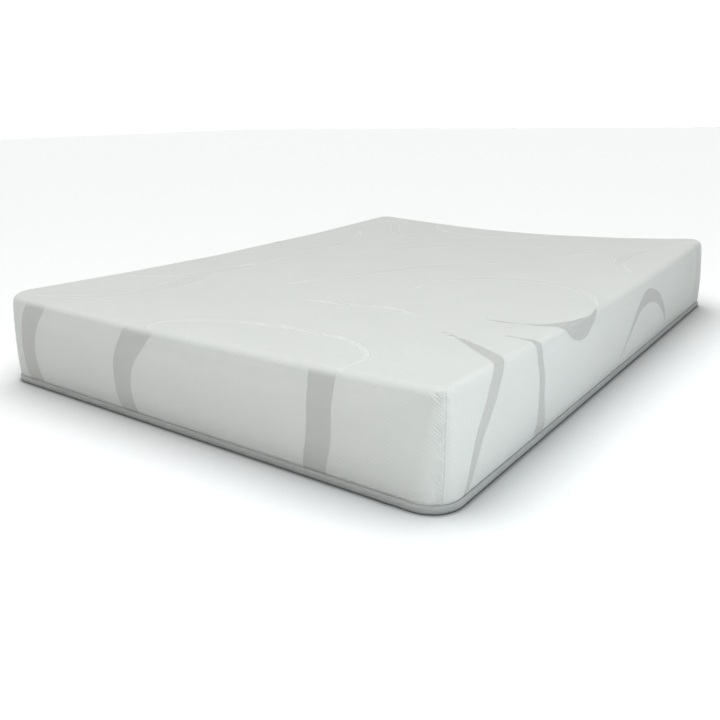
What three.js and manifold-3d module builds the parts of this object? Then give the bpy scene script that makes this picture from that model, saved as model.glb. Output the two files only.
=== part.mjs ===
// Queen-size memory foam mattress: three glued foam layers in a fire barrier sock, inside a
// knitted cover that is bound to a non-slip bottom panel by a tape round the lower edge.
// Millimetres, +Z up. The origin is the centre of the underside; X is the width, Y the length,
// and the foot end is at -Y.

import * as THREE from 'three';
import { mergeVertices } from 'three/addons/utils/BufferGeometryUtils.js';
import Module from 'manifold-3d';

// ---------------------------------------------------------------- driving dimensions

const WIDTH = 1524; // 60 in, over the cover
const LENGTH = 2032; // 80 in, over the cover
const HEIGHT = 272; // at the corners; the middle of the top lies at the nominal 10 in, near 250
const FOOT_SAG = 10; // how far the middle of each top edge lies below the corners
const SIDE_SAG = 20;
const HEAD_SAG = 34;
const TOP_EDGE_RADIUS = 22;
const TOP_CORNER_RADIUS = 45; // in plan, at the top of the cover
const BOTTOM_CORNER_RADIUS = 82; // in plan, at the tape
const PULL_IN = 6; // how far the tape draws the foot of the side inwards
const PULL_IN_HEIGHT = 150; // the side is upright above this

const GAP = 0.3; // between pieces that touch
const COVER_THICKNESS = 3;
const SOCK_THICKNESS = 1;
const PANEL_THICKNESS = 2.5;

const BASE_FOAM_TOP = 120;
const COMFORT_FOAM_TOP = 171;

const TAPE_HEIGHT = 22;
const TAPE_BOTTOM = 0.4; // the panel, not the tape, carries the mattress
const TAPE_OUTSET = 2; // beyond the widest part of the cover
const TAPE_ROUNDING = 5;
const TAPE_SOLE_TOP = 5.4; // top of the leg that turns in under the cover's raw edge
const STITCH_BAND = [14.6, 16]; // heights of the row of stitches on the tape
const STITCH_DEPTH = 0.8;

const SEAM_THREAD_RADIUS = 0.9;
const SOCK_MOUTH_INSET = 160; // the sock is turned under this far and left open

const CHANNEL_COUNT = 13; // airflow channels across the comfort foam
const CHANNEL_PITCH = 150;
const CHANNEL_WIDTH = 12;
const CHANNEL_DEPTH = 14;

const CORNER_STEPS = 8; // facets in a quarter turn of an extruded outline
const LEVEL_PITCH = 40; // height of the side's facets
const HALF_TURN = Math.tan(Math.PI / 8); // puts a grid line half-way round the top edge
const EDGE_SHARE = TOP_EDGE_RADIUS / TOP_CORNER_RADIUS; // of a corner zone that the top edge takes

const wasm = await Module();
wasm.setup();

// ---------------------------------------------------------------- the mattress's soft form

// How far the side stands outwards at height z, below 0 where the tape pulls it in.
function sideOffset(z) {
  const pull = 1 - THREE.MathUtils.clamp(z / PULL_IN_HEIGHT, 0, 1);
  return -PULL_IN * pull * pull;
}

// The plan radius of the vertical corners tightens from the tape to the top.
function cornerRadius(z) {
  const share = THREE.MathUtils.clamp(z / HEIGHT, 0, 1);
  return THREE.MathUtils.lerp(BOTTOM_CORNER_RADIUS, TOP_CORNER_RADIUS, share);
}

// How far the top has sunk at a point of height z. The memory foam layer takes all of it,
// and nothing below that layer moves.
function sagAt(x, y, z) {
  const share = THREE.MathUtils.clamp((z - COMFORT_FOAM_TOP) / (HEIGHT - COMFORT_FOAM_TOP), 0, 1);
  const across = (2 * x) / WIDTH;
  const along = (2 * y) / LENGTH;
  const sagAcross = THREE.MathUtils.lerp(FOOT_SAG, HEAD_SAG, (along + 1) / 2);
  const sag = sagAcross * (1 - across * across) + SIDE_SAG * (1 - along * along) * across * across;
  return share * sag;
}

// Grid lines of a corner zone, as shares of the way from its inner edge to the outline. Every
// body has the same ones, so that nested bodies have their facets face to face.
const CORNER_LINES = [(1 - EDGE_SHARE) / 2, 1 - EDGE_SHARE, 1 - EDGE_SHARE * (1 - HALF_TURN), 1];

// A grid line of a side with `cells` cells between its corner zones. end is -1 or 1 in a corner
// zone, share how far it lies across the zone, and middle its place between the two zones.
function gridLine(value, cells) {
  const zone = CORNER_LINES.length;
  const index = lineNumber(value, 2 * zone + cells);
  if (index < zone) return { end: -1, share: CORNER_LINES[zone - 1 - index], middle: -1 };
  if (index > zone + cells) return { end: 1, share: CORNER_LINES[index - zone - cells - 1], middle: 1 };
  return { end: 0, share: 0, middle: (2 * (index - zone)) / cells - 1 };
}

// Which of count + 1 evenly spaced lines from -1 to 1 a value lies on.
function lineNumber(value, count) {
  return Math.round(((value + 1) / 2) * count);
}

// The heights of a body's grid lines, shared by nested bodies between their own two ends.
function sideHeights(bottom, top, edgeRadius) {
  const heights = [bottom];
  for (let z = LEVEL_PITCH; z < top - edgeRadius; z += LEVEL_PITCH) {
    if (z > bottom) heights.push(z);
  }
  if (edgeRadius > 0) heights.push(top - edgeRadius, top - edgeRadius * (1 - HALF_TURN));
  heights.push(top);
  return heights;
}

// A closed body of the mattress's form, `inset` inside the cover's outer face, from height
// bottom to top. A rounded one has its top edge rounded, and cells are those of its top
// between the corner zones.
function formBlock({ inset, bottom, top, rounded = false, cells = [1, 1] }) {
  const edgeRadius = rounded ? EDGE_SHARE * (TOP_CORNER_RADIUS - inset) : 0;
  const heights = sideHeights(bottom, top, edgeRadius);
  const counts = [...cells.map((count) => 2 * CORNER_LINES.length + count), heights.length - 1];
  const geometry = new THREE.BoxGeometry(2, 2, 2, ...counts);
  const position = geometry.attributes.position;
  for (let i = 0; i < position.count; i++) {
    const lineX = gridLine(position.getX(i), cells[0]);
    const lineY = gridLine(position.getY(i), cells[1]);
    const height = heights[lineNumber(position.getZ(i), heights.length - 1)];
    position.setXYZ(i, ...formPoint(lineX, lineY, height, { inset, top, edgeRadius }));
  }
  return toSolid(geometry);
}

// Where the crossing of two grid lines lies on the body.
function formPoint(lineX, lineY, height, { inset, top, edgeRadius }) {
  const outline = cornerRadius(height) - inset + sideOffset(height);
  const centreX = lineX.middle * (WIDTH / 2 - cornerRadius(height));
  const centreY = lineY.middle * (LENGTH / 2 - cornerRadius(height));
  const reach = Math.max(lineX.share, lineY.share);
  if (reach === 0) return [centreX, centreY, height - sagAt(centreX, centreY, height)];

  let radial = reach * outline;
  let z = height;
  const past = radial - (outline - edgeRadius);
  const over = z - (top - edgeRadius);
  if (edgeRadius > 0 && past > 0 && over > 0) {
    const scale = Math.max(past, over) / Math.hypot(past, over);
    radial = outline - edgeRadius + past * scale;
    z = top - edgeRadius + over * scale;
  }
  const length = Math.hypot(lineX.share, lineY.share);
  const x = centreX + (lineX.end * lineX.share * radial) / length;
  const y = centreY + (lineY.end * lineY.share * radial) / length;
  return [x, y, z - sagAt(x, y, z)];
}

// ---------------------------------------------------------------- flat plates and solids

// A rectangle with round corners, outset from the cover's plan outline.
function outlineShape(outset) {
  const halfX = WIDTH / 2 + outset;
  const halfY = LENGTH / 2 + outset;
  const radius = BOTTOM_CORNER_RADIUS + outset;
  const shape = new THREE.Shape();
  shape.moveTo(-halfX + radius, -halfY);
  shape.lineTo(halfX - radius, -halfY);
  shape.absarc(halfX - radius, -halfY + radius, radius, -Math.PI / 2, 0);
  shape.lineTo(halfX, halfY - radius);
  shape.absarc(halfX - radius, halfY - radius, radius, 0, Math.PI / 2);
  shape.lineTo(-halfX + radius, halfY);
  shape.absarc(-halfX + radius, halfY - radius, radius, Math.PI / 2, Math.PI);
  shape.lineTo(-halfX, -halfY + radius);
  shape.absarc(-halfX + radius, -halfY + radius, radius, Math.PI, Math.PI * 1.5);
  return shape;
}

// The outline made a plate between two heights, its edges rounded by `rounding`.
function plate(outset, low, high, rounding = 0) {
  const geometry = new THREE.ExtrudeGeometry(outlineShape(outset - rounding), {
    depth: high - low - 2 * rounding,
    curveSegments: CORNER_STEPS,
    bevelEnabled: rounding > 0,
    bevelThickness: rounding,
    bevelSize: rounding,
    bevelSegments: 3,
  });
  geometry.translate(0, 0, low + rounding);
  return toSolid(geometry);
}

function toSolid(geometry) {
  geometry.deleteAttribute('normal');
  geometry.deleteAttribute('uv');
  const merged = mergeVertices(geometry, 1e-4);
  return new wasm.Manifold(new wasm.Mesh({
    numProp: 3,
    vertProperties: merged.attributes.position.array,
    triVerts: new Uint32Array(merged.index.array),
  }));
}

function toGeometry(solid) {
  const { vertProperties, triVerts } = solid.getMesh();
  const geometry = new THREE.BufferGeometry();
  geometry.setAttribute('position', new THREE.BufferAttribute(vertProperties, 3));
  geometry.setIndex(new THREE.BufferAttribute(triVerts, 1));
  geometry.computeVertexNormals();
  return geometry;
}

// ---------------------------------------------------------------- sub-parts

const SURFACE_CELLS = [6, 7]; // grid of the sunk top between its corner zones
const COVER_EDGE = TAPE_SOLE_TOP + GAP; // the cover's raw edge stands on the tape's inner leg
const SOCK_INSET = COVER_THICKNESS + GAP;
const SOCK_BOTTOM = PANEL_THICKNESS + GAP;
const FOAM_INSET = SOCK_INSET + SOCK_THICKNESS + GAP;
const FOAM_BOTTOM = SOCK_BOTTOM + SOCK_THICKNESS + GAP;

// The knitted top and its four sides are one piece of cloth: a shell open underneath.
function knitCover() {
  const outer = formBlock({
    inset: 0,
    bottom: COVER_EDGE,
    top: HEIGHT,
    rounded: true,
    cells: SURFACE_CELLS,
  });
  const hollow = formBlock({
    inset: COVER_THICKNESS,
    bottom: COVER_EDGE - 5,
    top: HEIGHT - COVER_THICKNESS,
    rounded: true,
    cells: SURFACE_CELLS,
  });
  return toGeometry(outer.subtract(hollow));
}

// The sock closes over the foam and is turned under it, with an open mouth in the middle.
function fireBarrierSock() {
  const outer = formBlock({
    inset: SOCK_INSET,
    bottom: SOCK_BOTTOM,
    top: HEIGHT - SOCK_INSET,
    rounded: true,
    cells: SURFACE_CELLS,
  });
  const hollow = formBlock({
    inset: SOCK_INSET + SOCK_THICKNESS,
    bottom: SOCK_BOTTOM + SOCK_THICKNESS,
    top: HEIGHT - SOCK_INSET - SOCK_THICKNESS,
    rounded: true,
    cells: SURFACE_CELLS,
  });
  const mouth = toSolid(new THREE.BoxGeometry(
    WIDTH - 2 * SOCK_MOUTH_INSET,
    LENGTH - 2 * SOCK_MOUTH_INSET,
    8 * SOCK_THICKNESS,
  ).translate(0, 0, SOCK_BOTTOM));
  return toGeometry(outer.subtract(hollow).subtract(mouth));
}

function memoryFoamLayer() {
  return toGeometry(formBlock({
    inset: FOAM_INSET,
    bottom: COMFORT_FOAM_TOP + GAP,
    top: HEIGHT - FOAM_INSET,
    rounded: true,
    cells: SURFACE_CELLS,
  }));
}

// A softer slab with airflow channels cut across its top.
function comfortFoamLayer() {
  const slab = formBlock({ inset: FOAM_INSET, bottom: BASE_FOAM_TOP + GAP, top: COMFORT_FOAM_TOP });
  let cut = slab;
  for (let i = 0; i < CHANNEL_COUNT; i++) {
    const y = (i - (CHANNEL_COUNT - 1) / 2) * CHANNEL_PITCH;
    const channel = new THREE.BoxGeometry(WIDTH, CHANNEL_WIDTH, 2 * CHANNEL_DEPTH);
    cut = cut.subtract(toSolid(channel.translate(0, y, COMFORT_FOAM_TOP)));
  }
  return toGeometry(cut);
}

function baseFoamLayer() {
  return toGeometry(formBlock({ inset: FOAM_INSET, bottom: FOAM_BOTTOM, top: BASE_FOAM_TOP }));
}

function bottomPanel() {
  return toGeometry(formBlock({ inset: COVER_THICKNESS + GAP, bottom: 0, top: PANEL_THICKNESS }));
}

// A binding with a round outer face. One leg lies on the cover's side, the other turns in
// under its raw edge and meets the bottom panel.
function edgeTape() {
  const binding = plate(TAPE_OUTSET, TAPE_BOTTOM, TAPE_HEIGHT, TAPE_ROUNDING);
  const coverFoot = formBlock({ inset: -GAP, bottom: TAPE_SOLE_TOP, top: 2 * TAPE_HEIGHT });
  const middle = formBlock({ inset: COVER_THICKNESS, bottom: -TAPE_HEIGHT, top: TAPE_HEIGHT });
  return toGeometry(binding.subtract(coverFoot).subtract(middle));
}

// The row of stitches that closes the tape, a thin band proud of its flat outer face.
function tapeStitching() {
  const outer = plate(TAPE_OUTSET + GAP + STITCH_DEPTH, ...STITCH_BAND);
  const inner = plate(TAPE_OUTSET + GAP, 0, TAPE_HEIGHT);
  return toGeometry(outer.subtract(inner));
}

// The overlock thread of a vertical corner seam, from the tape up over the top edge.
// alongX and alongY are -1 or 1 and say which corner it is.
function cornerSeam(alongX, alongY) {
  const clearance = SEAM_THREAD_RADIUS + 2 * GAP;
  const path = [TAPE_HEIGHT + 2, 60, 105, 150, 195]
    .map((z) => seamPoint(alongX, alongY, z, clearance));
  for (const turn of [0, Math.PI / 8, Math.PI / 4]) {
    const z = HEIGHT - TOP_EDGE_RADIUS + (TOP_EDGE_RADIUS + clearance) * Math.sin(turn);
    const proud = (TOP_EDGE_RADIUS + clearance) * Math.cos(turn) - TOP_EDGE_RADIUS;
    path.push(seamPoint(alongX, alongY, z, proud));
  }
  const section = new THREE.Shape();
  section.absarc(0, 0, SEAM_THREAD_RADIUS, 0, Math.PI * 2);
  return new THREE.ExtrudeGeometry(section, {
    curveSegments: 3,
    steps: 30,
    extrudePath: new THREE.CatmullRomCurve3(path),
  });
}

function seamPoint(alongX, alongY, z, proud) {
  const reach = (cornerRadius(z) + sideOffset(z) + proud) * Math.SQRT1_2;
  const x = alongX * (WIDTH / 2 - cornerRadius(z) + reach);
  const y = alongY * (LENGTH / 2 - cornerRadius(z) + reach);
  return new THREE.Vector3(x, y, z - sagAt(x, y, z));
}

// ---------------------------------------------------------------- materials and assembly

const fabric = (color, roughness) => new THREE.MeshStandardMaterial({ color, roughness, metalness: 0 });

const knitWhite = fabric(0xdfe3e0, 0.85);
const tapeGrey = fabric(0x9a9a96, 0.8);
const threadGrey = fabric(0x8b8b86, 0.7);
const seamWhite = fabric(0xcfd3cf, 0.7);
const panelGrey = fabric(0x6f7173, 0.9);
const sockWhite = fabric(0xece9df, 0.95);
const memoryFoam = fabric(0xf3efdd, 0.95);
const comfortFoam = fabric(0xc9dce2, 0.95);
const baseFoam = fabric(0xf4f1ea, 0.95);

const mattress = new THREE.Group();

function add(name, geometry, material) {
  const mesh = new THREE.Mesh(geometry, material);
  mesh.name = name;
  mattress.add(mesh);
}

add('bottom_panel', bottomPanel(), panelGrey);
add('base_foam_layer', baseFoamLayer(), baseFoam);
add('comfort_foam_layer', comfortFoamLayer(), comfortFoam);
add('memory_foam_layer', memoryFoamLayer(), memoryFoam);
add('fire_barrier_sock', fireBarrierSock(), sockWhite);
add('knit_cover', knitCover(), knitWhite);
add('corner_seam_foot_left', cornerSeam(-1, -1), seamWhite);
add('corner_seam_foot_right', cornerSeam(1, -1), seamWhite);
add('corner_seam_head_left', cornerSeam(-1, 1), seamWhite);
add('corner_seam_head_right', cornerSeam(1, 1), seamWhite);
add('edge_tape', edgeTape(), tapeGrey);
add('tape_stitching', tapeStitching(), threadGrey);

export default mattress;
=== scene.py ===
import math

import bmesh
import bpy
import numpy as np
from mathutils import Matrix, Vector, noise


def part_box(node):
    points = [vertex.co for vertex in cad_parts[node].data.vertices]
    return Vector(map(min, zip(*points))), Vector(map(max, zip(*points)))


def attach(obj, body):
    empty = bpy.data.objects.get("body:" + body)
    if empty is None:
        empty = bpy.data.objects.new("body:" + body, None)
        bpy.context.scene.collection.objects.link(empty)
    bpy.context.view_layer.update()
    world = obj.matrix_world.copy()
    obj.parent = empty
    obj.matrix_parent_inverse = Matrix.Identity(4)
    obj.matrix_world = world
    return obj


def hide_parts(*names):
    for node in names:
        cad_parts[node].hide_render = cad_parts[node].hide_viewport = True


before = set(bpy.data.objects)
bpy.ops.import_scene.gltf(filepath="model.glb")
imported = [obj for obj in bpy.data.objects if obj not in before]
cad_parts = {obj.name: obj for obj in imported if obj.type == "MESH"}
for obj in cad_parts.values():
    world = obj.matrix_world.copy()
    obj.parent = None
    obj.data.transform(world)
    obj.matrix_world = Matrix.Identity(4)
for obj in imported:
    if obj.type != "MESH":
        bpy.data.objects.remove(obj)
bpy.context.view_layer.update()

# ---------------------------------------------------------------- base foam
# The lowest layer is a firm slab of white polyurethane foam that carries the other two.
# It is sawn from a block, so its faces are flat and open-celled, and the layer above is
# glued to it.

WIDTH, LENGTH = 1.524, 2.032  # over the cover
CORNER_HEIGHT = 0.272  # the four corners of the top stand up
FOOT_SAG, SIDE_SAG, HEAD_SAG = 0.010, 0.020, 0.034  # of the middle of each top edge
# Radii in plan of the foot left, foot right, head right and head left corner, at the floor and
# at the top. The foot right corner is sewn to a sharper point.
RADII = ((0.062, 0.086), (0.080, 0.026), (0.020, 0.072), (0.058, 0.060))
MEMORY_FOAM_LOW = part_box("memory_foam_layer")[0].z


def side_offset(z):
    """How far the side stands outwards at height z: the tape draws its foot in."""
    pull = 1 - min(max(z / 0.150, 0), 1)
    return -0.006 * pull * pull


def sag(x, y, z):
    """How far the top has sunk. The memory foam takes all of it, and nothing below moves."""
    share = min(max((z - MEMORY_FOAM_LOW) / (CORNER_HEIGHT - MEMORY_FOAM_LOW), 0), 1)
    across, along = 2 * x / WIDTH, 2 * y / LENGTH
    middle = FOOT_SAG + (HEAD_SAG - FOOT_SAG) * (along + 1) / 2
    return share * (middle * (1 - across**2) + SIDE_SAG * (1 - along**2) * across**2)


def corner_radius(z, x, y):
    """Radius in plan at height z, where x and y run from -1 to 1 between the corners."""
    right, head = (1 + x) / 2, (1 + y) / 2
    shares = ((1 - right) * (1 - head), right * (1 - head), right * head, (1 - right) * head)
    low, high = (sum(share * pair[i] for share, pair in zip(shares, RADII)) for i in (0, 1))
    return low + (high - low) * min(max(z / CORNER_HEIGHT, 0), 1)


def zone_lines(radius, pitch, fine, half):
    """Places of the grid lines from the middle of a side to its end, fine near the corner.
    Inside the corner's radius they are given as 1 to 2, evenly round the quarter turn."""
    flat = half - radius
    fine_from = max(flat - 0.12, 0)
    coarse = np.linspace(0, fine_from / flat, max(round(fine_from / pitch), 1) + 1)
    close = np.linspace(fine_from / flat, 1, max(round((flat - fine_from) / fine), 1) + 1)
    turn = 1 + np.tan(np.radians(45) * np.arange(1, 9) / 8)
    half_lines = np.concatenate([coarse[:-1], close, turn])
    return np.concatenate([-half_lines[:0:-1], half_lines])


def soft_block(name, inset, low, high, edge=0.0, grid=(0.05, 0.03, 0.03), foot=()):
    """A closed block of the mattress's form, `inset` inside the cover's face, from height low
    to high, with its top edge rounded by `edge`. grid is the pitch in the middle, near the
    corners and in height, and foot gives closer heights for the lowest rings. Returns the mesh
    and where each vertex lay on the uncut box."""
    mean_radius = sum(sum(pair) for pair in RADII) / 8
    rise = high - edge - (foot[-1] if len(foot) else low)
    side_levels = np.linspace(high - edge - rise, high - edge, max(round(rise / grid[2]), 1) + 1)
    side_levels = np.concatenate([foot[:-1], side_levels])
    turn = high - edge + edge * np.tan(np.radians(45) * np.arange(1, 8) / 7)
    lines = [
        zone_lines(mean_radius, grid[0], grid[1], WIDTH / 2),
        zone_lines(mean_radius, grid[0], grid[1], LENGTH / 2),
        np.concatenate([side_levels, turn]) if edge else side_levels,
    ]
    bm = bmesh.new()
    bmesh.ops.create_cube(bm, size=2)
    for axis in range(3):
        cuts = len(lines[axis]) - 2
        along = [e for e in bm.edges if abs(e.verts[0].co[axis] - e.verts[1].co[axis]) > 1e-4]
        if cuts:
            bmesh.ops.subdivide_edges(bm, edges=along, cuts=cuts, use_grid_fill=True)
    flat_box = []
    for v in bm.verts:
        number = [round((v.co[i] + 1) / 2 * (len(lines[i]) - 1)) for i in range(3)]
        place_x, place_y, z = (lines[i][number[i]] for i in range(3))
        share_x, share_y = max(abs(place_x) - 1, 0), max(abs(place_y) - 1, 0)
        middle_x, middle_y = (math.copysign(min(abs(p), 1), p) for p in (place_x, place_y))
        corner = corner_radius(z, middle_x, middle_y)
        outline = corner - inset + side_offset(z)
        centre = (middle_x * (WIDTH / 2 - corner), middle_y * (LENGTH / 2 - corner))
        flat_box.append((
            centre[0] + math.copysign(share_x * corner, place_x),
            centre[1] + math.copysign(share_y * corner, place_y),
            z,
        ))
        reach = max(share_x, share_y)
        radial = reach * outline
        past, over = radial - (outline - edge), z - (high - edge)
        if edge and past > 0 and over > 0:
            scale = max(past, over) / math.hypot(past, over)
            radial, z = outline - edge + past * scale, high - edge + over * scale
        if reach > 0:
            length = math.hypot(share_x, share_y)
            x = centre[0] + math.copysign(share_x * radial / length, place_x)
            y = centre[1] + math.copysign(share_y * radial / length, place_y)
        else:
            x, y = centre
        v.co = (x, y, z - sag(x, y, z))
    bmesh.ops.recalc_face_normals(bm, faces=bm.faces)
    mesh = bpy.data.meshes.new(name)
    bm.to_mesh(mesh)
    bm.free()
    mesh.shade_smooth()
    return mesh, np.array(flat_box)


def add_piece(name, mesh, material, slot, *nodes):
    """Links a mesh as a piece of the mattress that stands for CAD nodes."""
    piece = bpy.data.objects.new(name, mesh)
    bpy.context.scene.collection.objects.link(piece)
    if not mesh.materials:
        mesh.materials.append(material)
    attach(piece, "root")
    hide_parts(*nodes)
    return piece


def new_material(name, color, roughness, sheen=0.0):
    """A cloth or foam shader, and a function that adds a node to it and sets its inputs."""
    material = bpy.data.materials.new(name)
    material.use_nodes = True
    tree = material.node_tree
    shader = tree.nodes["Principled BSDF"]
    shader.inputs["Base Color"].default_value = (*color, 1)
    shader.inputs["Roughness"].default_value = roughness
    shader.inputs["Sheen Weight"].default_value = sheen
    shader.inputs["Sheen Roughness"].default_value = 0.5
    shader.inputs["Specular IOR Level"].default_value = 0.25

    def node(kind, settings=None, **inputs):
        made = tree.nodes.new("ShaderNode" + kind)
        for key, value in (settings or {}).items():
            setattr(made, key, value)
        for key, value in inputs.items():
            index = int(key[1:]) if key[0] == "i" and key[1:].isdigit() else key.replace("_", " ")
            socket = made.inputs[index]
            if isinstance(value, bpy.types.NodeSocket):
                tree.links.new(value, socket)
            else:
                socket.default_value = value
        return made

    def use(socket_name, value):
        tree.links.new(value, shader.inputs[socket_name])

    return material, node, use


def blend(node, share, first, second):
    """Two colours mixed by share, each of them either plain or the output of a node."""
    pair = [c if isinstance(c, bpy.types.NodeSocket) else (*c, 1) for c in (first, second)]
    mix = node("Mix", {"data_type": "RGBA"}, i0=share, i6=pair[0], i7=pair[1])
    return mix.outputs[2]


def foam_material(name, color, pore, strength):
    """Open-celled foam: a field of small pores over a faint mottling of its colour."""
    material, node, use = new_material(name, color, 0.95, sheen=0.1)
    place = node("TexCoord").outputs["Object"]
    pores = node("TexVoronoi", Vector=place, Scale=1 / pore)
    mottle = node("TexNoise", Vector=place, Scale=9.0, Detail=4.0)
    dark = [c * 0.9 for c in color]
    use("Base Color", blend(node, mottle.outputs["Fac"], dark, color))
    bump = node("Bump", Strength=strength, Distance=pore / 4, Height=pores.outputs["Distance"])
    use("Normal", bump.outputs["Normal"])
    return material


foam_inset = 0.0046
base_low, base_high = (corner.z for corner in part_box("base_foam_layer"))
base_mesh, _ = soft_block("base_foam", foam_inset, base_low, base_high)
base_foam = add_piece(
    "base_foam",
    base_mesh,
    foam_material("base foam", (0.86, 0.84, 0.79), 0.0022, 0.6),
    "base_foam",
    "base_foam_layer",
)

# ---------------------------------------------------------------- comfort foam
# A softer slab glued on the base, tinted blue-green. Airflow channels are cut across its top
# before the memory foam goes on, so that warm air can leave at the sides.

CHANNELS, CHANNEL_PITCH = 13, 0.150
CHANNEL_WIDTH, CHANNEL_DEPTH = 0.012, 0.014

comfort_low, comfort_high = (corner.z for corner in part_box("comfort_foam_layer"))
comfort_mesh, _ = soft_block("comfort_foam", foam_inset, comfort_low, comfort_high)
bm = bmesh.new()
bm.from_mesh(comfort_mesh)
for i in range(CHANNELS):
    middle = (i - (CHANNELS - 1) / 2) * CHANNEL_PITCH
    for edge_y in (middle - CHANNEL_WIDTH / 2, middle + CHANNEL_WIDTH / 2):
        bmesh.ops.bisect_plane(
            bm,
            geom=bm.verts[:] + bm.edges[:] + bm.faces[:],
            dist=1e-6,
            plane_co=(0, edge_y, 0),
            plane_no=(0, 1, 0),
        )


def in_channel(face):
    y = face.calc_center_median().y
    nearest = round(y / CHANNEL_PITCH) * CHANNEL_PITCH
    return abs(y - nearest) < CHANNEL_WIDTH / 2 and abs(nearest) < CHANNELS * CHANNEL_PITCH / 2


floors = [f for f in bm.faces if f.normal.z > 0.9 and in_channel(f)]
sunk = bmesh.ops.extrude_face_region(bm, geom=floors)
bmesh.ops.delete(bm, geom=floors, context="FACES")
floor_verts = [v for v in sunk["geom"] if isinstance(v, bmesh.types.BMVert)]
bmesh.ops.translate(bm, verts=floor_verts, vec=(0, 0, -CHANNEL_DEPTH))
bmesh.ops.remove_doubles(bm, verts=bm.verts, dist=1e-5)
bmesh.ops.recalc_face_normals(bm, faces=bm.faces)
bm.to_mesh(comfort_mesh)
bm.free()
comfort_mesh.shade_flat()
comfort_foam = add_piece(
    "comfort_foam",
    comfort_mesh,
    foam_material("comfort foam", (0.55, 0.68, 0.72), 0.0020, 0.5),
    "comfort_foam",
    "comfort_foam_layer",
)

# ---------------------------------------------------------------- memory foam
# The top layer is dense viscoelastic foam, cream coloured, that takes the sleeper's shape. It
# is glued down in the middle only, so its corners stand up and its edges dip between them.

memory_mesh, _ = soft_block(
    "memory_foam",
    foam_inset,
    MEMORY_FOAM_LOW,
    CORNER_HEIGHT - foam_inset,
    edge=0.017,
)
memory_foam = add_piece(
    "memory_foam",
    memory_mesh,
    foam_material("memory foam", (0.88, 0.83, 0.68), 0.0012, 0.3),
    "memory_foam",
    "memory_foam_layer",
)

# ---------------------------------------------------------------- fire barrier sock
# A fine rib-knit sleeve of flame-resistant yarn, pulled over the glued foam and turned under
# it. Its mouth stays open in the middle of the underside.

SOCK_INSET, SOCK_THICKNESS, SOCK_MOUTH = 0.0033, 0.001, 0.160

sock_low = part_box("fire_barrier_sock")[0].z
sock_mesh, _ = soft_block(
    "fire_barrier_sock_knit",
    SOCK_INSET,
    sock_low,
    CORNER_HEIGHT - SOCK_INSET,
    edge=0.018,
)
bm = bmesh.new()
bm.from_mesh(sock_mesh)
for axis, half in ((0, WIDTH / 2 - SOCK_MOUTH), (1, LENGTH / 2 - SOCK_MOUTH)):
    for sign in (-1, 1):
        normal = Vector((0, 0, 0))
        normal[axis] = 1
        bmesh.ops.bisect_plane(
            bm,
            geom=bm.verts[:] + bm.edges[:] + bm.faces[:],
            dist=1e-6,
            plane_co=normal * half * sign,
            plane_no=normal,
        )
mouth = [
    f
    for f in bm.faces
    if f.normal.z < -0.9
    and abs(f.calc_center_median().x) < WIDTH / 2 - SOCK_MOUTH
    and abs(f.calc_center_median().y) < LENGTH / 2 - SOCK_MOUTH
]
bmesh.ops.delete(bm, geom=mouth, context="FACES")
bm.to_mesh(sock_mesh)
bm.free()
sock_knit, node, use = new_material("sock rib knit", (0.82, 0.79, 0.72), 0.95, sheen=0.2)
place = node("TexCoord").outputs["Object"]
ribs = node("TexWave", {"bands_direction": "X"}, Vector=place, Scale=60.0, Distortion=0.6)
bump = node("Bump", Strength=0.5, Distance=0.0006, Height=ribs.outputs["Fac"])
use("Normal", bump.outputs["Normal"])
shade = node("TexNoise", Vector=place, Scale=14.0, Detail=3.0)
use("Base Color", blend(node, shade.outputs["Fac"], (0.74, 0.71, 0.64), (0.86, 0.83, 0.76)))
sock = add_piece("fire_barrier_sock_knit", sock_mesh, sock_knit, "sock_knit", "fire_barrier_sock")
thick = sock.modifiers.new("cloth thickness", "SOLIDIFY")
thick.thickness = SOCK_THICKNESS
thick.offset = -1

# ---------------------------------------------------------------- bottom panel
# The underside is one piece of non-slip cloth: a plain grey weave printed with rows of small
# rubbery dots. It is cut to the mattress's plan and its edge is caught under the tape.

PANEL_INSET = 0.0033

panel_low, panel_high = (corner.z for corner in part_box("bottom_panel"))
panel_mesh, _ = soft_block("bottom_panel_cloth", PANEL_INSET, panel_low, panel_high)
non_slip, node, use = new_material("non-slip cloth", (0.46, 0.46, 0.45), 0.85, sheen=0.2)
place = node("TexCoord").outputs["Object"]
warp = node("TexWave", {"bands_direction": "X"}, Vector=place, Scale=260.0)
weft = node("TexWave", {"bands_direction": "Y"}, Vector=place, Scale=260.0)
weave = node("Math", {"operation": "MULTIPLY"}, i0=warp.outputs["Fac"], i1=weft.outputs["Fac"])
dots = node("TexVoronoi", Vector=place, Scale=1 / 0.012, Randomness=0.0)
dot = node(
    "MapRange",
    {"interpolation_type": "SMOOTHSTEP"},
    Value=dots.outputs["Distance"],
    From_Min=0.24,
    From_Max=0.17,
)
shade = node("TexNoise", Vector=place, Scale=6.0, Detail=4.0)
cloth = blend(node, shade.outputs["Fac"], (0.40, 0.40, 0.39), (0.52, 0.52, 0.51))
use("Base Color", blend(node, dot.outputs[0], cloth, (0.66, 0.66, 0.65)))
rough = node("MapRange", Value=dot.outputs[0], To_Min=0.9, To_Max=0.5)
use("Roughness", rough.outputs[0])
relief = node("Bump", Strength=0.4, Distance=0.0003, Height=weave.outputs[0]).outputs[0]
raised = node("Bump", Strength=0.8, Distance=0.0006, Height=dot.outputs[0], Normal=relief)
use("Normal", raised.outputs[0])
bottom_panel = add_piece(
    "bottom_panel_cloth",
    panel_mesh,
    non_slip,
    "bottom_fabric",
    "bottom_panel",
)

# ---------------------------------------------------------------- knit cover
# The cover is a soft double-knit jacquard, off-white with flowing grey bands and raised
# tone-on-tone leaves. One cut piece goes over the top and down all four sides, and a seam
# closes it at each corner. The cloth bulges a little between the tape and the top edge.

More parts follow.
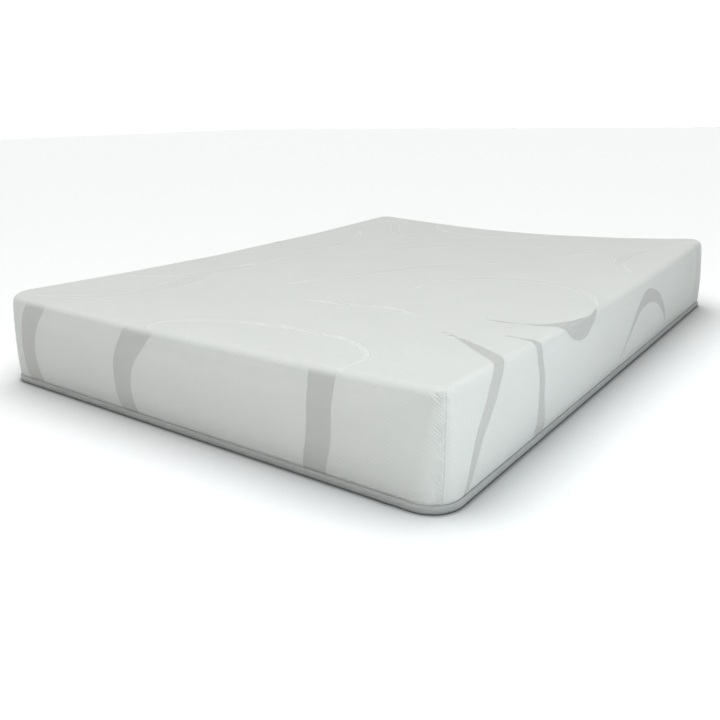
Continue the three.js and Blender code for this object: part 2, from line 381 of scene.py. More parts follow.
COVER_THICKNESS = 0.0028
COVER_EDGE = 0.022  # radius of the top edge
TAPE_HEIGHT = 0.0235  # the cloth comes out from under the tape here
SEAM_SHIFT = (0.0, 0.008, 0.122, 0.0)  # of each seam from its corner's middle to the long side
SIDE_SWELL = 0.0055
CORNER_SWELL, CORNER_REACH = 0.4, 0.090  # the share of the swell that is left at a corner
SEAM_GROOVE, GROOVE_REACH = 0.0022, 0.008
TAPE_NIP, NIP_REACH = 0.0017, 0.0035
CREASE_DEPTH, CREASE_PITCH, CREASE_REACH = 0.0010, 0.023, 0.022

cover_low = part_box("knit_cover")[0].z
cover_mesh, cover_place = soft_block(
    "knit_cover_cloth",
    0.0,
    cover_low,
    CORNER_HEIGHT,
    edge=COVER_EDGE,
    grid=(0.014, 0.007, 0.008),
    foot=[cover_low, 0.010, *(TAPE_HEIGHT + 0.002 * np.arange(-4, 7)), 0.040],
)

# The grey bands and the leaves are strokes: points of the middle line in the flat cut, where
# the sides hang outwards from the top's edges, each with the stroke's half width there.
end_bands = [
    [(-0.57, -0.99, 0.045), (-0.623, -1.11, 0.039), (-0.634, -1.19, 0.037),
     (-0.622, -1.28, 0.038)],
    [(-0.112, -0.99, 0.052), (-0.176, -1.10, 0.041), (-0.195, -1.17, 0.036),
     (-0.192, -1.28, 0.034)],
    [(0.47, -0.99, 0.040), (0.465, -1.09, 0.035), (0.46, -1.18, 0.034), (0.43, -1.28, 0.030)],
    [(0.60, 0.99, 0.042), (0.64, 1.10, 0.035), (0.635, 1.18, 0.034), (0.60, 1.28, 0.040)],
    [(0.15, 0.99, 0.050), (0.20, 1.10, 0.042), (0.215, 1.18, 0.034), (0.19, 1.28, 0.036)],
    [(-0.46, 0.99, 0.040), (-0.455, 1.10, 0.035), (-0.44, 1.18, 0.034), (-0.41, 1.28, 0.030)],
]
side_bands = [
    [(0.54, -0.64, 0.006), (0.62, -0.68, 0.010), (0.72, -0.75, 0.018), (0.775, -0.79, 0.020),
     (0.83, -0.840, 0.021), (0.90, -0.892, 0.016), (1.01, -0.925, 0.010)],
    [(0.68, -0.585, 0.006), (0.72, -0.59, 0.007), (0.78, -0.585, 0.016), (0.86, -0.585, 0.016),
     (0.92, -0.585, 0.018), (1.00, -0.57, 0.030)],
    [(0.57, -0.472, 0.006), (0.64, -0.466, 0.007), (0.71, -0.45, 0.011),
     (0.770, -0.39, 0.028), (0.796, -0.32, 0.034), (0.788, -0.25, 0.016), (0.755, -0.18, 0.002)],
    [(0.975, 0.005, 0.007), (0.895, 0.095, 0.012), (0.85, 0.175, 0.018), (0.832, 0.26, 0.029),
     (0.860, 0.35, 0.022), (0.92, 0.43, 0.011), (0.975, 0.48, 0.006)],
    [(-0.77, 0.81, 0.030), (-0.84, 0.85, 0.024), (-0.92, 0.89, 0.012), (-0.99, 0.915, 0.005)],
    [(-0.77, 0.46, 0.024), (-0.84, 0.44, 0.018), (-0.92, 0.45, 0.020), (-1.00, 0.44, 0.032)],
    [(-0.72, 0.20, 0.004), (-0.775, 0.13, 0.030), (-0.80, 0.05, 0.045), (-0.79, -0.02, 0.028),
     (-0.75, -0.09, 0.003)],
    [(-0.95, -0.20, 0.006), (-0.88, -0.29, 0.022), (-0.845, -0.39, 0.032), (-0.87, -0.49, 0.026),
     (-0.97, -0.58, 0.005)],
    [(-0.77, -0.80, 0.034), (-0.84, -0.84, 0.030), (-0.92, -0.85, 0.028), (-1.00, -0.83, 0.034)],
]
leaves = [
    [(-0.65, -0.97, 0.002), (-0.50, -0.87, 0.018), (-0.44, -0.75, 0.024), (-0.45, -0.58, 0.045),
     (-0.50, -0.42, 0.020), (-0.50, -0.20, 0.003)],
    [(-0.70, -0.62, 0.002), (-0.56, -0.54, 0.010), (-0.50, -0.40, 0.030), (-0.46, -0.24, 0.016),
     (-0.48, -0.06, 0.002)],
    [(-0.11, -1.00, 0.003), (-0.10, -0.93, 0.004), (0.02, -0.85, 0.006), (0.20, -0.81, 0.009),
     (0.38, -0.82, 0.007), (0.50, -0.90, 0.004), (0.51, -1.02, 0.003)],
    [(-0.15, -0.41, 0.002), (-0.09, -0.24, 0.016), (0.04, 0.02, 0.028), (0.20, 0.24, 0.020),
     (0.36, 0.44, 0.010), (0.48, 0.60, 0.002)],
    [(0.22, -0.28, 0.002), (0.22, -0.12, 0.010), (0.36, 0.02, 0.022), (0.54, 0.03, 0.018),
     (0.68, -0.05, 0.008), (0.76, -0.18, 0.002)],
    [(0.02, -0.55, 0.002), (0.18, -0.53, 0.010), (0.32, -0.50, 0.006), (0.42, -0.56, 0.002)],
    [(-0.74, -0.10, 0.002), (-0.60, 0.04, 0.020), (-0.50, 0.22, 0.030), (-0.52, 0.44, 0.016),
     (-0.62, 0.62, 0.002)],
    [(-0.30, 0.10, 0.002), (-0.24, 0.30, 0.022), (-0.10, 0.50, 0.034), (0.08, 0.62, 0.020),
     (0.26, 0.66, 0.002)],
    [(0.70, 0.30, 0.002), (0.62, 0.42, 0.016), (0.60, 0.60, 0.026), (0.66, 0.80, 0.012),
     (0.75, 0.92, 0.002)],
    [(-0.42, 0.98, 0.003), (-0.36, 0.88, 0.006), (-0.20, 0.81, 0.009), (0.00, 0.82, 0.007),
     (0.12, 0.90, 0.004), (0.14, 1.02, 0.003)],
    [(-0.68, 0.92, 0.002), (-0.58, 0.84, 0.016), (-0.50, 0.72, 0.020), (-0.40, 0.62, 0.010),
     (-0.30, 0.58, 0.002)],
]


def inside_strokes(strokes, points):
    """How far each point lies inside the nearest stroke: its half width less the distance to
    its middle line, which runs smoothly through the stroke's points."""
    inside = np.full(len(points), -0.12)
    for stroke in strokes:
        knots = np.array(stroke)
        low, high = knots[:, :2].min(axis=0) - 0.12, knots[:, :2].max(axis=0) + 0.12
        near = np.flatnonzero(np.all((points > low) & (points < high), axis=1))
        ends = np.vstack([2 * knots[0] - knots[1], knots, 2 * knots[-1] - knots[-2]])
        line = []
        for before, start, stop, after in zip(ends, ends[1:], ends[2:], ends[3:]):
            for t in np.arange(8) / 8:
                bend = 2 * before - 5 * start + 4 * stop - after
                twist = 3 * (start - stop) + after - before
                line.append(start + t * (stop - before + t * (bend + t * twist)) / 2)
        line.append(knots[-1])
        for start, stop in zip(line, line[1:]):
            run = stop[:2] - start[:2]
            t = np.clip((points[near] - start[:2]) @ run / (run @ run), 0, 1)
            gap = np.linalg.norm(points[near] - start[:2] - t[:, None] * run, axis=1)
            inside[near] = np.maximum(inside[near], start[2] + t * (stop[2] - start[2]) - gap)
    return inside


def seam_shift(x, y):
    """SEAM_SHIFT of the corner nearest to x, y."""
    right = np.where(y < 0, SEAM_SHIFT[1], SEAM_SHIFT[2])
    left = np.where(y < 0, SEAM_SHIFT[0], SEAM_SHIFT[3])
    return np.where(x > 0, right, left)


def unfold(mesh, places, faces):
    """For each corner of each face: its place in the flat cut, its distance from the nearest
    seam, counted positive on the long sides, and how far it hangs below the top. faces tells
    which side of the box each face came from."""
    vertex = np.zeros(len(mesh.loops), dtype=int)
    mesh.loops.foreach_get("vertex_index", vertex)
    face_of = np.repeat(faces, [p.loop_total for p in mesh.polygons])
    x, y, z = places[vertex].T
    down = CORNER_HEIGHT - z
    cut = np.stack([x, y], axis=1)
    cut[:, 0] += np.where(abs(face_of) == 1, np.sign(face_of) * down, 0)
    cut[:, 1] += np.where(abs(face_of) == 2, np.sign(face_of) * down, 0)
    seam = np.where(abs(face_of) == 1, LENGTH / 2 - abs(y), abs(x) - WIDTH / 2) - seam_shift(x, y)
    return cut, np.where(face_of == 3, 1.0, seam), down


def box_faces(mesh, places):
    """Which side of the box each face came from: 1 and -1 for x, 2 and -2 for y, 3 for the top
    and -3 for the bottom."""
    faces = []
    for face in mesh.polygons:
        corners = places[list(face.vertices)]
        spread = corners.max(axis=0) - corners.min(axis=0)
        axis = int(np.argmin(spread))
        faces.append((axis + 1) * int(np.sign(corners[0][axis] - (0.1 if axis == 2 else 0))))
    return np.array(faces)


sides_of_box = box_faces(cover_mesh, cover_place)
cut, seam_distance, hang = unfold(cover_mesh, cover_place, sides_of_box)
uv_map = cover_mesh.uv_layers.new(name="cut")
uv_map.uv.foreach_set("vector", cut.astype(np.float32).ravel())
in_end_band, in_side_band = inside_strokes(end_bands, cut), inside_strokes(side_bands, cut)
fade = np.where(in_end_band > in_side_band, np.clip((hang - 0.002) / 0.020, 0, 1), 1)
for name, values in (
    ("band", np.maximum(in_end_band, in_side_band)),
    ("fade", fade),
    ("leaf", inside_strokes(leaves, cut)),
    ("seam", seam_distance),
    ("hang", hang),
):
    layer = cover_mesh.attributes.new(name, "FLOAT", "CORNER")
    layer.data.foreach_set("value", values.astype(np.float32))


def climb(z):
    """How far up the side height z is: 0 at the tape and 1 where the top edge begins to turn."""
    return np.clip((z - TAPE_HEIGHT) / (CORNER_HEIGHT - COVER_EDGE - TAPE_HEIGHT), 0, 1)


def swell_at(z, from_corner):
    """How far a side's cloth stands out at height z. A corner holds it back."""
    share = 1 - (1 - CORNER_SWELL) * np.exp(-((from_corner / CORNER_REACH) ** 2))
    return SIDE_SWELL * np.sin(math.pi * climb(z)) ** 0.4 * share


def groove_at(z):
    """Depth of the groove that a seam draws at height z. It runs out at the tape."""
    return SEAM_GROOVE * np.clip(climb(z) * 12, 0, 1)


# Above the tape the cloth is nipped in, at the corners the seam draws a groove, and between
# them the sides swell. The cloth of the top lies in long low waves.
flat_x, flat_y, flat_z = cover_place.T
rest_place = np.zeros(len(cover_mesh.vertices) * 3)
rest_normal = np.zeros(len(cover_mesh.vertices) * 3)
cover_mesh.vertices.foreach_get("co", rest_place)
cover_mesh.vertices.foreach_get("normal", rest_normal)
rest_place, rest_normal = rest_place.reshape(-1, 3), rest_normal.reshape(-1, 3)
on_long_side = abs(flat_x) > WIDTH / 2 - 1e-5
on_side = on_long_side | (abs(flat_y) > LENGTH / 2 - 1e-5)
from_seam = np.where(on_long_side, LENGTH / 2 - abs(flat_y), abs(flat_x) - WIDTH / 2)
from_seam = np.where(on_side, abs(from_seam - seam_shift(flat_x, flat_y)), 1.0)
from_corner = np.where(on_long_side, LENGTH / 2 - abs(flat_y), WIDTH / 2 - abs(flat_x))
nip = TAPE_NIP * np.exp(-(((flat_z - TAPE_HEIGHT + 0.004) / NIP_REACH) ** 2))
groove = groove_at(flat_z) * np.exp(-((from_seam / GROOVE_REACH) ** 2))
lean = np.where(on_long_side, 1, -1) * from_seam + 0.8 * flat_z
crease = np.sin(lean * 2 * math.pi / CREASE_PITCH)
crease *= np.exp(-((from_seam - CREASE_REACH) / CREASE_REACH) ** 2)
crease *= CREASE_DEPTH * np.clip((climb(flat_z) - 0.35) / 0.3, 0, 1) * on_side
waves = []
for point in rest_place:
    broad = noise.noise(Vector(point) * 3.1)
    close = noise.noise(Vector(point) * 9.0 + Vector((5, 1, 3)))
    waves.append(0.0022 * broad + 0.0010 * close)
outward = np.where(on_side, swell_at(flat_z, from_corner) - nip - groove, 0) + crease
calm = np.exp(-((from_seam / 0.03) ** 2))
outward += np.array(waves) * np.clip(climb(flat_z) * 4, 0, 1) * (1 - calm)
cover_mesh.vertices.foreach_set("co", (rest_place + rest_normal * outward[:, None]).ravel())

# How firmly the cloth is held where it lies: the seams and the tape hold it fast.
corner_hold = 0.5 * np.exp(-((from_corner / CORNER_REACH) ** 2))
hold = np.where(on_side, corner_hold, 0.8)
hold = np.where((flat_z < TAPE_HEIGHT + 0.010) | (from_seam < 0.005), 1.0, hold)
held = cover_mesh.attributes.new("hold", "FLOAT", "POINT")
held.data.foreach_set("value", hold.astype(np.float32))

# The bottom of the block is open: the panel closes it.
bm = bmesh.new()
bm.from_mesh(cover_mesh)
underside = [face for face, side in zip(bm.faces[:], sides_of_box) if side == -3]
bmesh.ops.delete(bm, geom=underside, context="FACES")
bm.to_mesh(cover_mesh)
bm.free()

knit, node, use = new_material("double-knit jacquard", (0.60, 0.62, 0.60), 0.85, sheen=0.12)
cut_place = node("UVMap", {"uv_map": "cut"}).outputs["UV"]
object_place = node("TexCoord").outputs["Object"]
wander = node("TexNoise", Vector=cut_place, Scale=26.0, Detail=2.0)
drift = node("VectorMath", {"operation": "SCALE"}, i0=wander.outputs["Color"], Scale=0.0016)
knit_place = node("VectorMath", i0=cut_place, i1=drift.outputs[0]).outputs[0]


# These helpers add to the material that node was last made for.
def knit_rows(place, scale):
    """Rows of loops across x, as a wave from 0 to 1."""
    return node("TexWave", {"bands_direction": "X"}, Vector=place, Scale=scale).outputs["Fac"]


def math_node(operation, *values):
    settings = {"operation": operation}
    return node("Math", settings, **{f"i{i}": v for i, v in enumerate(values)}).outputs[0]


slants = []
for turn in (0.86, -0.86):
    turned = node("Mapping", Vector=knit_place, Rotation=(0, 0, turn)).outputs[0]
    slants.append(knit_rows(turned, 44.0))
diamond = math_node("MULTIPLY", *slants)
ribs = knit_rows(knit_place, 115.0)


def attribute(name):
    return node("Attribute", {"attribute_name": name}).outputs["Fac"]


def ramp(value, start, stop, low=0.0, high=1.0, kind="LINEAR"):
    """Maps value from start-stop to low-high, and holds it there."""
    limits = {"From_Min": start, "From_Max": stop, "To_Min": low, "To_Max": high}
    return node("MapRange", {"interpolation_type": kind}, Value=value, **limits).outputs[0]


def scaled(color, share):
    return node("VectorMath", {"operation": "SCALE"}, i0=color, Scale=share).outputs[0]


def edge_line(name, width):
    """The signed distance into the nearest stroke of that name, and a thin line at its edge."""
    inside = attribute(name)
    gap = math_node("ABSOLUTE", inside)
    return inside, ramp(gap, width, width * 0.3, kind="SMOOTHSTEP")


band_inside, band_line = edge_line("band", 0.0034)
leaf_inside, leaf_line = edge_line("leaf", 0.0060)
in_band = ramp(band_inside, -0.0008, 0.0008)
band_fade = attribute("fade")
band_mask = math_node("MULTIPLY", in_band, band_fade)
mottle = node("TexNoise", Vector=object_place, Scale=5.0, Detail=5.0).outputs["Fac"]
ground = blend(node, mottle, (0.616, 0.624, 0.600), (0.660, 0.664, 0.640))
grey_mottle = node("TexNoise", Vector=object_place, Scale=3.0, Detail=3.0).outputs["Fac"]
grey = blend(node, grey_mottle, (0.503, 0.510, 0.490), (0.544, 0.534, 0.512))
grey_ribbed = scaled(grey, ramp(ribs, 0.0, 1.0, 0.94, 1.03))
ground_knit = scaled(ground, ramp(diamond, 0.0, 1.0, 0.965, 1.03))
with_bands = blend(node, band_mask, ground_knit, grey_ribbed)
# Painted highlight: a lighter line along each band's edge, as if its raised edge catches the
# light.
faded_line = math_node("MULTIPLY", band_line, band_fade)
painted_band_highlight = math_node("MULTIPLY", faded_line, 0.4)
with_lines = blend(node, painted_band_highlight, with_bands, (0.70, 0.71, 0.70))
# Painted highlight: the raised leaf lines are drawn lighter, as if they catch the light.
painted_leaf_highlight = ramp(leaf_line, 0.0, 1.0, 1.0, 1.10)
in_leaf = ramp(leaf_inside, -0.001, 0.001, 1.0, 0.978)
leaf_tone = math_node("MULTIPLY", painted_leaf_highlight, in_leaf)

# Beside the thread the cloth folds into the seam, where painted shade darkens its colour, and each
# needle hole draws a small pucker.
PUCKER_PITCH = 0.0084
seam_gap = attribute("seam")
from_fold = math_node("ABSOLUTE", math_node("SUBTRACT", seam_gap, 0.0018))
# Painted shade: the cloth's colour is darkened to 0.8 in the seam's fold.
painted_seam_shade = ramp(from_fold, 0.0, 0.0022, 0.80, 1.0)
tone = math_node("MULTIPLY", leaf_tone, painted_seam_shade)
use("Base Color", scaled(with_lines, tone))
slant = math_node("MULTIPLY_ADD", seam_gap, -0.7, attribute("hang"))
pucker_wave = math_node("SINE", math_node("MULTIPLY", slant, 2 * math.pi / PUCKER_PITCH))
left_reach = ramp(seam_gap, -0.044, -0.012, kind="SMOOTHSTEP")
right_reach = ramp(seam_gap, 0.010, -0.014, kind="SMOOTHSTEP")
pucker = math_node("MULTIPLY", pucker_wave, math_node("MULTIPLY", left_reach, right_reach))
rib_height = math_node("MULTIPLY", ribs, band_mask)
diamond_height = math_node("MULTIPLY", diamond, math_node("SUBTRACT", 1.0, band_mask))
fuzz = node("TexNoise", Vector=cut_place, Scale=900.0, Detail=2.0).outputs["Fac"]
relief = node("Bump", Strength=0.35, Distance=0.0003, Height=fuzz).outputs[0]
for height, strength, distance in (
    (diamond_height, 0.38, 0.0012),
    (rib_height, 0.6, 0.0008),
    (leaf_line, 0.6, 0.0026),
    (faded_line, 0.7, 0.0014),
    (pucker, 0.52, 0.0015),
):
    raised = node("Bump", Strength=strength, Distance=distance, Height=height, Normal=relief)
    relief = raised.outputs[0]
use("Normal", relief)
cover = add_piece("knit_cover_cloth", cover_mesh, knit, "cover_knit", "knit_cover")

# The foam presses on the cloth from inside, so it draws tight and swells between the places
# where it is sewn down. The top rests on the foam and hardly moves.
CLOTH_FRAMES, CLOTH_REACH = 20, 0.006
count = len(cover_mesh.vertices)
weights, before, after = np.zeros(count), np.zeros(count * 3), np.zeros(count * 3)
cover_mesh.attributes["hold"].data.foreach_get("value", weights)
cover_mesh.vertices.foreach_get("co", before)
group = cover.vertex_groups.new(name="sewn")
for weight in np.unique(weights):
    group.add([int(i) for i in np.flatnonzero(weights == weight)], float(weight), "REPLACE")
cloth = cover.modifiers.new("tight cloth", "CLOTH")
cloth.settings.vertex_group_mass = "sewn"
cloth.settings.quality = 4
cloth.settings.mass = 0.3
cloth.settings.tension_stiffness = 15
cloth.settings.compression_stiffness = 10
cloth.settings.shear_stiffness = 5
cloth.settings.bending_stiffness = 0.5
cloth.settings.pin_stiffness = 1
cloth.settings.use_pressure = True
cloth.settings.uniform_pressure_force = 4
cloth.settings.effector_weights.gravity = 0
cloth.point_cache.frame_start = 1
cloth.point_cache.frame_end = CLOTH_FRAMES
for frame_number in range(1, CLOTH_FRAMES + 1):
    bpy.context.scene.frame_set(frame_number)
evaluated = cover.evaluated_get(bpy.context.evaluated_depsgraph_get())
evaluated.data.vertices.foreach_get("co", after)
normals = np.zeros(count * 3)
cover_mesh.vertices.foreach_get("normal", normals)
normals = normals.reshape(-1, 3)
moved = (after - before).reshape(-1, 3)
moved -= np.minimum((moved * normals).sum(axis=1), 0)[:, None] * normals  # the foam resists
distance = np.linalg.norm(moved, axis=1)[:, None]
moved *= CLOTH_REACH * np.tanh(distance / CLOTH_REACH) / np.maximum(distance, 1e-9)
cover.modifiers.remove(cloth)
cover.vertex_groups.remove(group)
cover_mesh.vertices.foreach_set("co", before + moved.ravel())
cover_mesh.update()
bpy.context.scene.frame_set(1)
thick = cover.modifiers.new("cloth thickness", "SOLIDIFY")
thick.thickness = COVER_THICKNESS
thick.offset = -1
thick.use_quality_normals = True
cover_mesh.shade_smooth()

# ---------------------------------------------------------------- corner seams
# Each corner of the cover is closed by a lockstitched seam from the top edge down to the tape.
# Its soft white thread lies in the groove that it pulls into the cloth.


CORNER_SIGNS = ((-1, -1), (1, -1), (1, 1), (-1, 1))  # foot left, foot right, head right, head left
NEARLY_WHOLE = 0.9999  # of a quarter turn, so that turn's whole part is still the corner


def form_point(turn, outset, z):
    """A point that lies outset from the cover's plain form at height z. The whole part of turn,
    0 to 3, is the corner and its fraction the way round that corner's quarter turn."""
    corner, share = int(turn) % 4, turn - int(turn)
    sign_x, sign_y = CORNER_SIGNS[corner]
    plan_radius = corner_radius(z, sign_x, sign_y)
    angle = math.radians(180 + 90 * corner + 90 * share)
    reach = plan_radius + side_offset(z) + outset
    over = max(z - (CORNER_HEIGHT - COVER_EDGE), 0) / COVER_EDGE
    reach -= COVER_EDGE * (1 - math.sqrt(max(1 - over * over, 0)))
    return Vector((
        sign_x * (WIDTH / 2 - plan_radius) + reach * math.cos(angle),
        sign_y * (LENGTH / 2 - plan_radius) + reach * math.sin(angle),
        z,
    ))


def seam_point(corner, outset, z):
    """A point of the seam of a corner, which lies up to SEAM_SHIFT along the long side."""
    shift = SEAM_SHIFT[corner]
    way = 1 if corner in (1, 3) else -1
    radius = corner_radius(z, *CORNER_SIGNS[corner])
    turned = min(shift / (radius * math.pi / 2), 0.5)
    straight = max(shift - radius * math.pi / 4, 0)
    stands_out = outset + swell_at(z, shift) - groove_at(z)
    point = form_point(corner + (0.5 + way * turned) * NEARLY_WHOLE, stands_out, z)
    return point - Vector((0, math.copysign(straight, point.y), 0))


def stitch_row(name, stitches, radius, sides=8, rings=6):
    """One mesh of round stitches. Each is given by its start, its stop and the way it rises,
    and is a sphere drawn out into a rod whose ends dive into the cloth."""
    bm = bmesh.new()
    bmesh.ops.create_uvsphere(bm, u_segments=sides, v_segments=rings, radius=1.0)
    rod = bpy.data.meshes.new("rod")
    bm.to_mesh(rod)
    bm.clear()
    along = np.array([v.co.z for v in rod.vertices])
    ring = np.array([v.co.xy for v in rod.vertices])
    ring *= radius / np.maximum(np.linalg.norm(ring, axis=1), 1e-3)[:, None]
    ring *= np.maximum(1 - along**2, 0)[:, None] ** 0.25
    rise = ring[:, 1] + radius * 0.9 * (1 - along**2)
    for start, stop, out in stitches:
        run = np.array(stop - start)
        way = run / np.linalg.norm(run)
        side = np.cross(way, out)
        side /= np.linalg.norm(side)
        up = np.cross(side, way)
        middle = np.array(start + stop) / 2
        placed = middle + np.outer(along / 2, run) + np.outer(ring[:, 0], side)
        rod.vertices.foreach_set("co", (placed + np.outer(rise, up)).ravel())
        bm.from_mesh(rod)
    bpy.data.meshes.remove(rod)
    mesh = bpy.data.meshes.new(name)
    bm.to_mesh(mesh)
    bm.free()
    mesh.shade_smooth()
    return mesh


seam_thread, node, use = new_material("seam thread", (0.78, 0.79, 0.77), 0.6, sheen=0.3)
place = node("TexCoord").outputs["Object"]
ply = node("TexWave", {"bands_direction": "DIAGONAL"}, Vector=place, Scale=280.0)
bump = node("Bump", Strength=0.6, Distance=0.0002, Height=ply.outputs["Fac"])
use("Normal", bump.outputs["Normal"])
fade = node("TexNoise", Vector=place, Scale=40.0)
use("Base Color", blend(node, fade.outputs["Fac"], (0.66, 0.67, 0.65), (0.76, 0.77, 0.75)))

SEAM_PITCH, STITCH_GAP = 0.0046, 0.0004
SEAM_TOP = CORNER_HEIGHT - 0.010
for corner, corner_name in enumerate(("foot_left", "foot_right", "head_right", "head_left")):
    heights = np.linspace(TAPE_HEIGHT, SEAM_TOP, round((SEAM_TOP - TAPE_HEIGHT) / SEAM_PITCH) + 1)
    row = []
    for low, high in zip(heights, heights[1:]):
        ends = (low + STITCH_GAP / 2, high - STITCH_GAP / 2)
        start, stop = (seam_point(corner, 0.0003, z) for z in ends)
        row.append((start, stop, seam_point(corner, 0.01, low) - seam_point(corner, 0.0, low)))
    mesh = stitch_row("corner_thread_" + corner_name, row, 0.0008)
    add_piece(mesh.name, mesh, seam_thread, "seam_thread", "corner_seam_" + corner_name)

# ---------------------------------------------------------------- edge tape
# A rolled strip of dense grey binding runs round the foot of the cover. It joins the cover to
# the bottom panel, and its ends lap over each other on the foot end.

TAPE_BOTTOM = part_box("edge_tape")[0].z
TAPE_SOLE_TOP = 0.0054
TAPE_MIDDLE, TAPE_HALF_HEIGHT = 0.0099, 0.0094
TAPE_OUT, TAPE_BULGE = 0.0008, 0.0036
tape_profile = [
    (-0.0029, TAPE_SOLE_TOP),
    (-0.0029, TAPE_BOTTOM + 0.0006),
    (-0.0015, TAPE_BOTTOM),
]
for step in range(9):
    angle = math.radians(-80 + 160 * step / 8)
    tape_profile.append((
        TAPE_OUT + TAPE_BULGE * math.cos(angle),
        TAPE_MIDDLE + TAPE_HALF_HEIGHT * math.sin(angle),
    ))
tape_profile += [(-0.0012, 0.0198), (-0.0018, 0.0186), (-0.0006, 0.0175)]
tape_profile += [(-0.0002, TAPE_SOLE_TOP)]
LAP_FROM, LAP_TO, LAP_DEPTH = 0.600, 0.640, 0.0012  # along the foot end


def around(outset, z):
    """Points on the form's outline at height z, anticlockwise from the foot left corner. They
    lie close together where the tape's ends lap."""
    line = []
    for corner in range(4):
        turns = np.arange(13) / 12 * NEARLY_WHOLE
        line += [form_point(corner + share, outset, z) for share in turns]
        start, stop = line[-1], form_point((corner + 1) % 4, outset, z)
        shares = [i / 64 for i in range(1, 64)]
        if corner == 0:
            shares = sorted(shares + [0.848 + i * 0.0013 for i in range(31)])
        line += [start.lerp(stop, share) for share in shares]
    return line


tape_bm = bmesh.new()
outline = around(*tape_profile[0])
ring = bmesh.ops.create_circle(tape_bm, segments=len(outline), radius=1.0)["verts"]
for v, point in zip(ring, outline):
    v.co = point
edges = tape_bm.edges[:]
for outset, z in tape_profile[1:] + tape_profile[:1]:
    number = {tuple(point): i for i, point in enumerate(outline)}
    outline = around(outset, z)
    grown = bmesh.ops.extrude_edge_only(tape_bm, edges=edges)["geom"]
    edges = [part for part in grown if isinstance(part, bmesh.types.BMEdge)]
    for v in grown:
        if isinstance(v, bmesh.types.BMVert):
            v.co = outline[number[tuple(v.co)]]
bmesh.ops.remove_doubles(tape_bm, verts=tape_bm.verts, dist=1e-6)
for v in tape_bm.verts:
    inside_lap = min((v.co.x - LAP_FROM) / 0.002, (LAP_TO - v.co.x) / 0.010, 1)
    if v.co.y < 0 and inside_lap > 0 and v.co.z > TAPE_BOTTOM + 0.0008:
        v.co.y -= LAP_DEPTH * inside_lap
bmesh.ops.recalc_face_normals(tape_bm, faces=tape_bm.faces)
tape_mesh = bpy.data.meshes.new("edge_tape_binding")
tape_bm.to_mesh(tape_mesh)
tape_bm.free()
tape_mesh.shade_smooth()
binding, node, use = new_material("rolled binding", (0.40, 0.40, 0.39), 0.85, sheen=0.2)
place = node("TexCoord").outputs["Object"]
weave = node("TexWave", {"bands_direction": "Z"}, Vector=place, Scale=300.0)
ends = node("TexNoise", Vector=place, Scale=500.0, Detail=2.0)
mix = node("Math", {"operation": "MULTIPLY"}, i0=weave.outputs["Fac"], i1=ends.outputs["Fac"])
bump = node("Bump", Strength=0.6, Distance=0.0005, Height=mix.outputs[0])
use("Normal", bump.outputs["Normal"])
fade = node("TexNoise", Vector=place, Scale=11.0, Detail=4.0)
use("Base Color", blend(node, fade.outputs["Fac"], (0.36, 0.36, 0.35), (0.46, 0.46, 0.45)))
add_piece("edge_tape_binding", tape_mesh, binding, "binding_tape", "edge_tape")

# ---------------------------------------------------------------- tape stitching
# One row of lockstitch in pale grey polyester thread holds the tape on. It goes through the
# tape, the cover and the bottom panel at once, all the way round.

STITCH_PITCH, STITCH_HEIGHT = 0.006, 0.0150
STITCH_SHARE = 0.12  # of the pitch is left free at each end of a stitch

path = around(TAPE_OUT + TAPE_BULGE * 0.85, STITCH_HEIGHT)
lengths = [0.0]
for start, stop in zip(path, path[1:] + path[:1]):
    lengths.append(lengths[-1] + (stop - start).length)
count = round(lengths[-1] / STITCH_PITCH)
closed = path + path[:1]
marks = np.linspace(0, lengths[-1], count + 1)
flat_path = [np.interp(marks, lengths, [p[axis] for p in closed]) for axis in range(3)]
points = [Vector(p) for p in zip(*flat_path)]
row = []
for start, stop in zip(points, points[1:]):
    out = (stop - start).cross(Vector((0, 0, 1)))
    row.append((start.lerp(stop, STITCH_SHARE), start.lerp(stop, 1 - STITCH_SHARE), out))
stitch_mesh = stitch_row("tape_stitches", row, 0.0005, sides=6, rings=4)
tape_thread, node, use = new_material("tape thread", (0.55, 0.55, 0.54), 0.6, sheen=0.3)
place = node("TexCoord").outputs["Object"]
fade = node("TexNoise", Vector=place, Scale=60.0)
use("Base Color", blend(node, fade.outputs["Fac"], (0.46, 0.46, 0.45), (0.60, 0.60, 0.59)))
add_piece("tape_stitches", stitch_mesh, tape_thread, "tape_thread", "tape_stitching")

# ---------------------------------------------------------------- camera, floor and light
# A plain white floor lies under a studio sky, with a broad soft light at the near right and a
# second one over the foot end. Close to the mattress a painted shadow, drawn from ambient
# occlusion, darkens the floor's colour.

floor_mesh = bpy.data.meshes.new("floor")
bm = bmesh.new()
bmesh.ops.create_grid(bm, x_segments=1, y_segments=1, size=30)
bm.to_mesh(floor_mesh)
bm.free()
floor = bpy.data.objects.new("floor", floor_mesh)
bpy.context.scene.collection.objects.link(floor)
paper, node, use = new_material("white floor", (0.95, 0.95, 0.95), 0.9)
# Painted shadow: ambient occlusion darkens the floor's colour near the mattress, and a tighter
# painted contact shadow runs along the tape.
open_sky = node("AmbientOcclusion", {"samples": 12}, Distance=0.36).outputs["AO"]
painted_shadow_tone = ramp(open_sky, 0.38, 0.95, 0.42, 0.97)
touching = node("AmbientOcclusion", {"samples": 12}, Distance=0.012).outputs["AO"]
painted_contact_shadow = ramp(touching, 0.40, 0.95, 0.42, 1.0)
use("Base Color", math_node("MULTIPLY", painted_shadow_tone, painted_contact_shadow))
floor_mesh.materials.append(paper)

world = bpy.data.worlds.new("studio")
world.use_nodes = True
tree = world.node_tree
sky = tree.nodes["Background"]
height = tree.nodes.new("ShaderNodeSeparateXYZ")
tree.links.new(tree.nodes.new("ShaderNodeTexCoord").outputs["Generated"], height.inputs[0])
overhead = tree.nodes.new("ShaderNodeVectorMath")
overhead.operation = "DOT_PRODUCT"
overhead.inputs[1].default_value = (-0.17, 0.0, 0.985)
tree.links.new(height.inputs[0].links[0].from_socket, overhead.inputs[0])
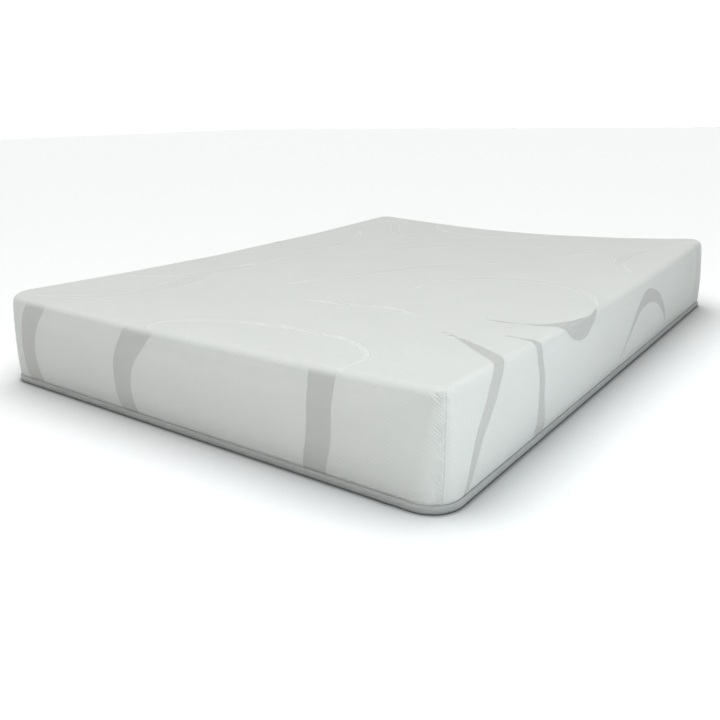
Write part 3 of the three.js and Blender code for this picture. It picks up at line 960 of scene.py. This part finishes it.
# The sky shines in a low ring round the horizon and in a wide round patch overhead.
levels = []
for source, start, stop, low, high in (
    (height.outputs["Z"], 0.15, 0.18, 1.0, 0.05),
    (overhead.outputs["Value"], 0.68, 0.86, 0.0, 2.2),
):
    level = tree.nodes.new("ShaderNodeMapRange")
    level.inputs["From Min"].default_value = start
    level.inputs["From Max"].default_value = stop
    level.inputs["To Min"].default_value = low
    level.inputs["To Max"].default_value = high
    tree.links.new(source, level.inputs["Value"])
    levels.append(level.outputs[0])
both = tree.nodes.new("ShaderNodeMath")
tree.links.new(levels[0], both.inputs[0])
tree.links.new(levels[1], both.inputs[1])
# Seen past the mattress the sky is plain white at every height, though only parts of it shine.
backdrop = tree.nodes.new("ShaderNodeMath")
backdrop.operation = "MAXIMUM"
tree.links.new(both.outputs[0], backdrop.inputs[0])
tree.links.new(tree.nodes.new("ShaderNodeLightPath").outputs["Is Camera Ray"], backdrop.inputs[1])
tree.links.new(backdrop.outputs[0], sky.inputs["Strength"])
sky.inputs["Color"].default_value = (1.03, 1.045, 1.04, 1)
bpy.context.scene.world = world


def add_light(name, place, target, size, power, color):
    """A square area light at place that faces target."""
    lamp = bpy.data.lights.new(name, "AREA")
    lamp.shape = "SQUARE"
    lamp.size = size
    lamp.energy = power
    lamp.color = color
    light = bpy.data.objects.new(name, lamp)
    light.location = place
    light.rotation_euler = (Vector(target) - Vector(place)).to_track_quat("-Z", "Y").to_euler()
    bpy.context.scene.collection.objects.link(light)


add_light("key", (2.5, -1.2, 0.8), (0.75, -0.75, 0.1), size=0.9, power=15, color=(0.82, 0.94, 1.0))
add_light("near", (0.6, -1.7, 2.3), (0.3, -0.7, 0.2), size=1.6, power=10, color=(0.95, 0.98, 1.0))

CAMERA_PLACE = (1.4234, -2.1751, 0.7726)
CAMERA_TURN, CAMERA_TILT, CAMERA_ROLL = 36.355, 13.742, -1.115  # degrees

lens = bpy.data.cameras.new("camera")
lens.lens = 38.16
lens.sensor_width = 36
lens.shift_y = -0.0833
camera = bpy.data.objects.new("camera", lens)
camera.matrix_world = (
    Matrix.Translation(CAMERA_PLACE)
    @ Matrix.Rotation(math.radians(CAMERA_TURN), 4, "Z")
    @ Matrix.Rotation(math.radians(90 - CAMERA_TILT), 4, "X")
    @ Matrix.Rotation(math.radians(CAMERA_ROLL), 4, "Z")
)
bpy.context.scene.collection.objects.link(camera)
bpy.context.scene.camera = camera
bpy.context.scene.view_settings.view_transform = "Standard"
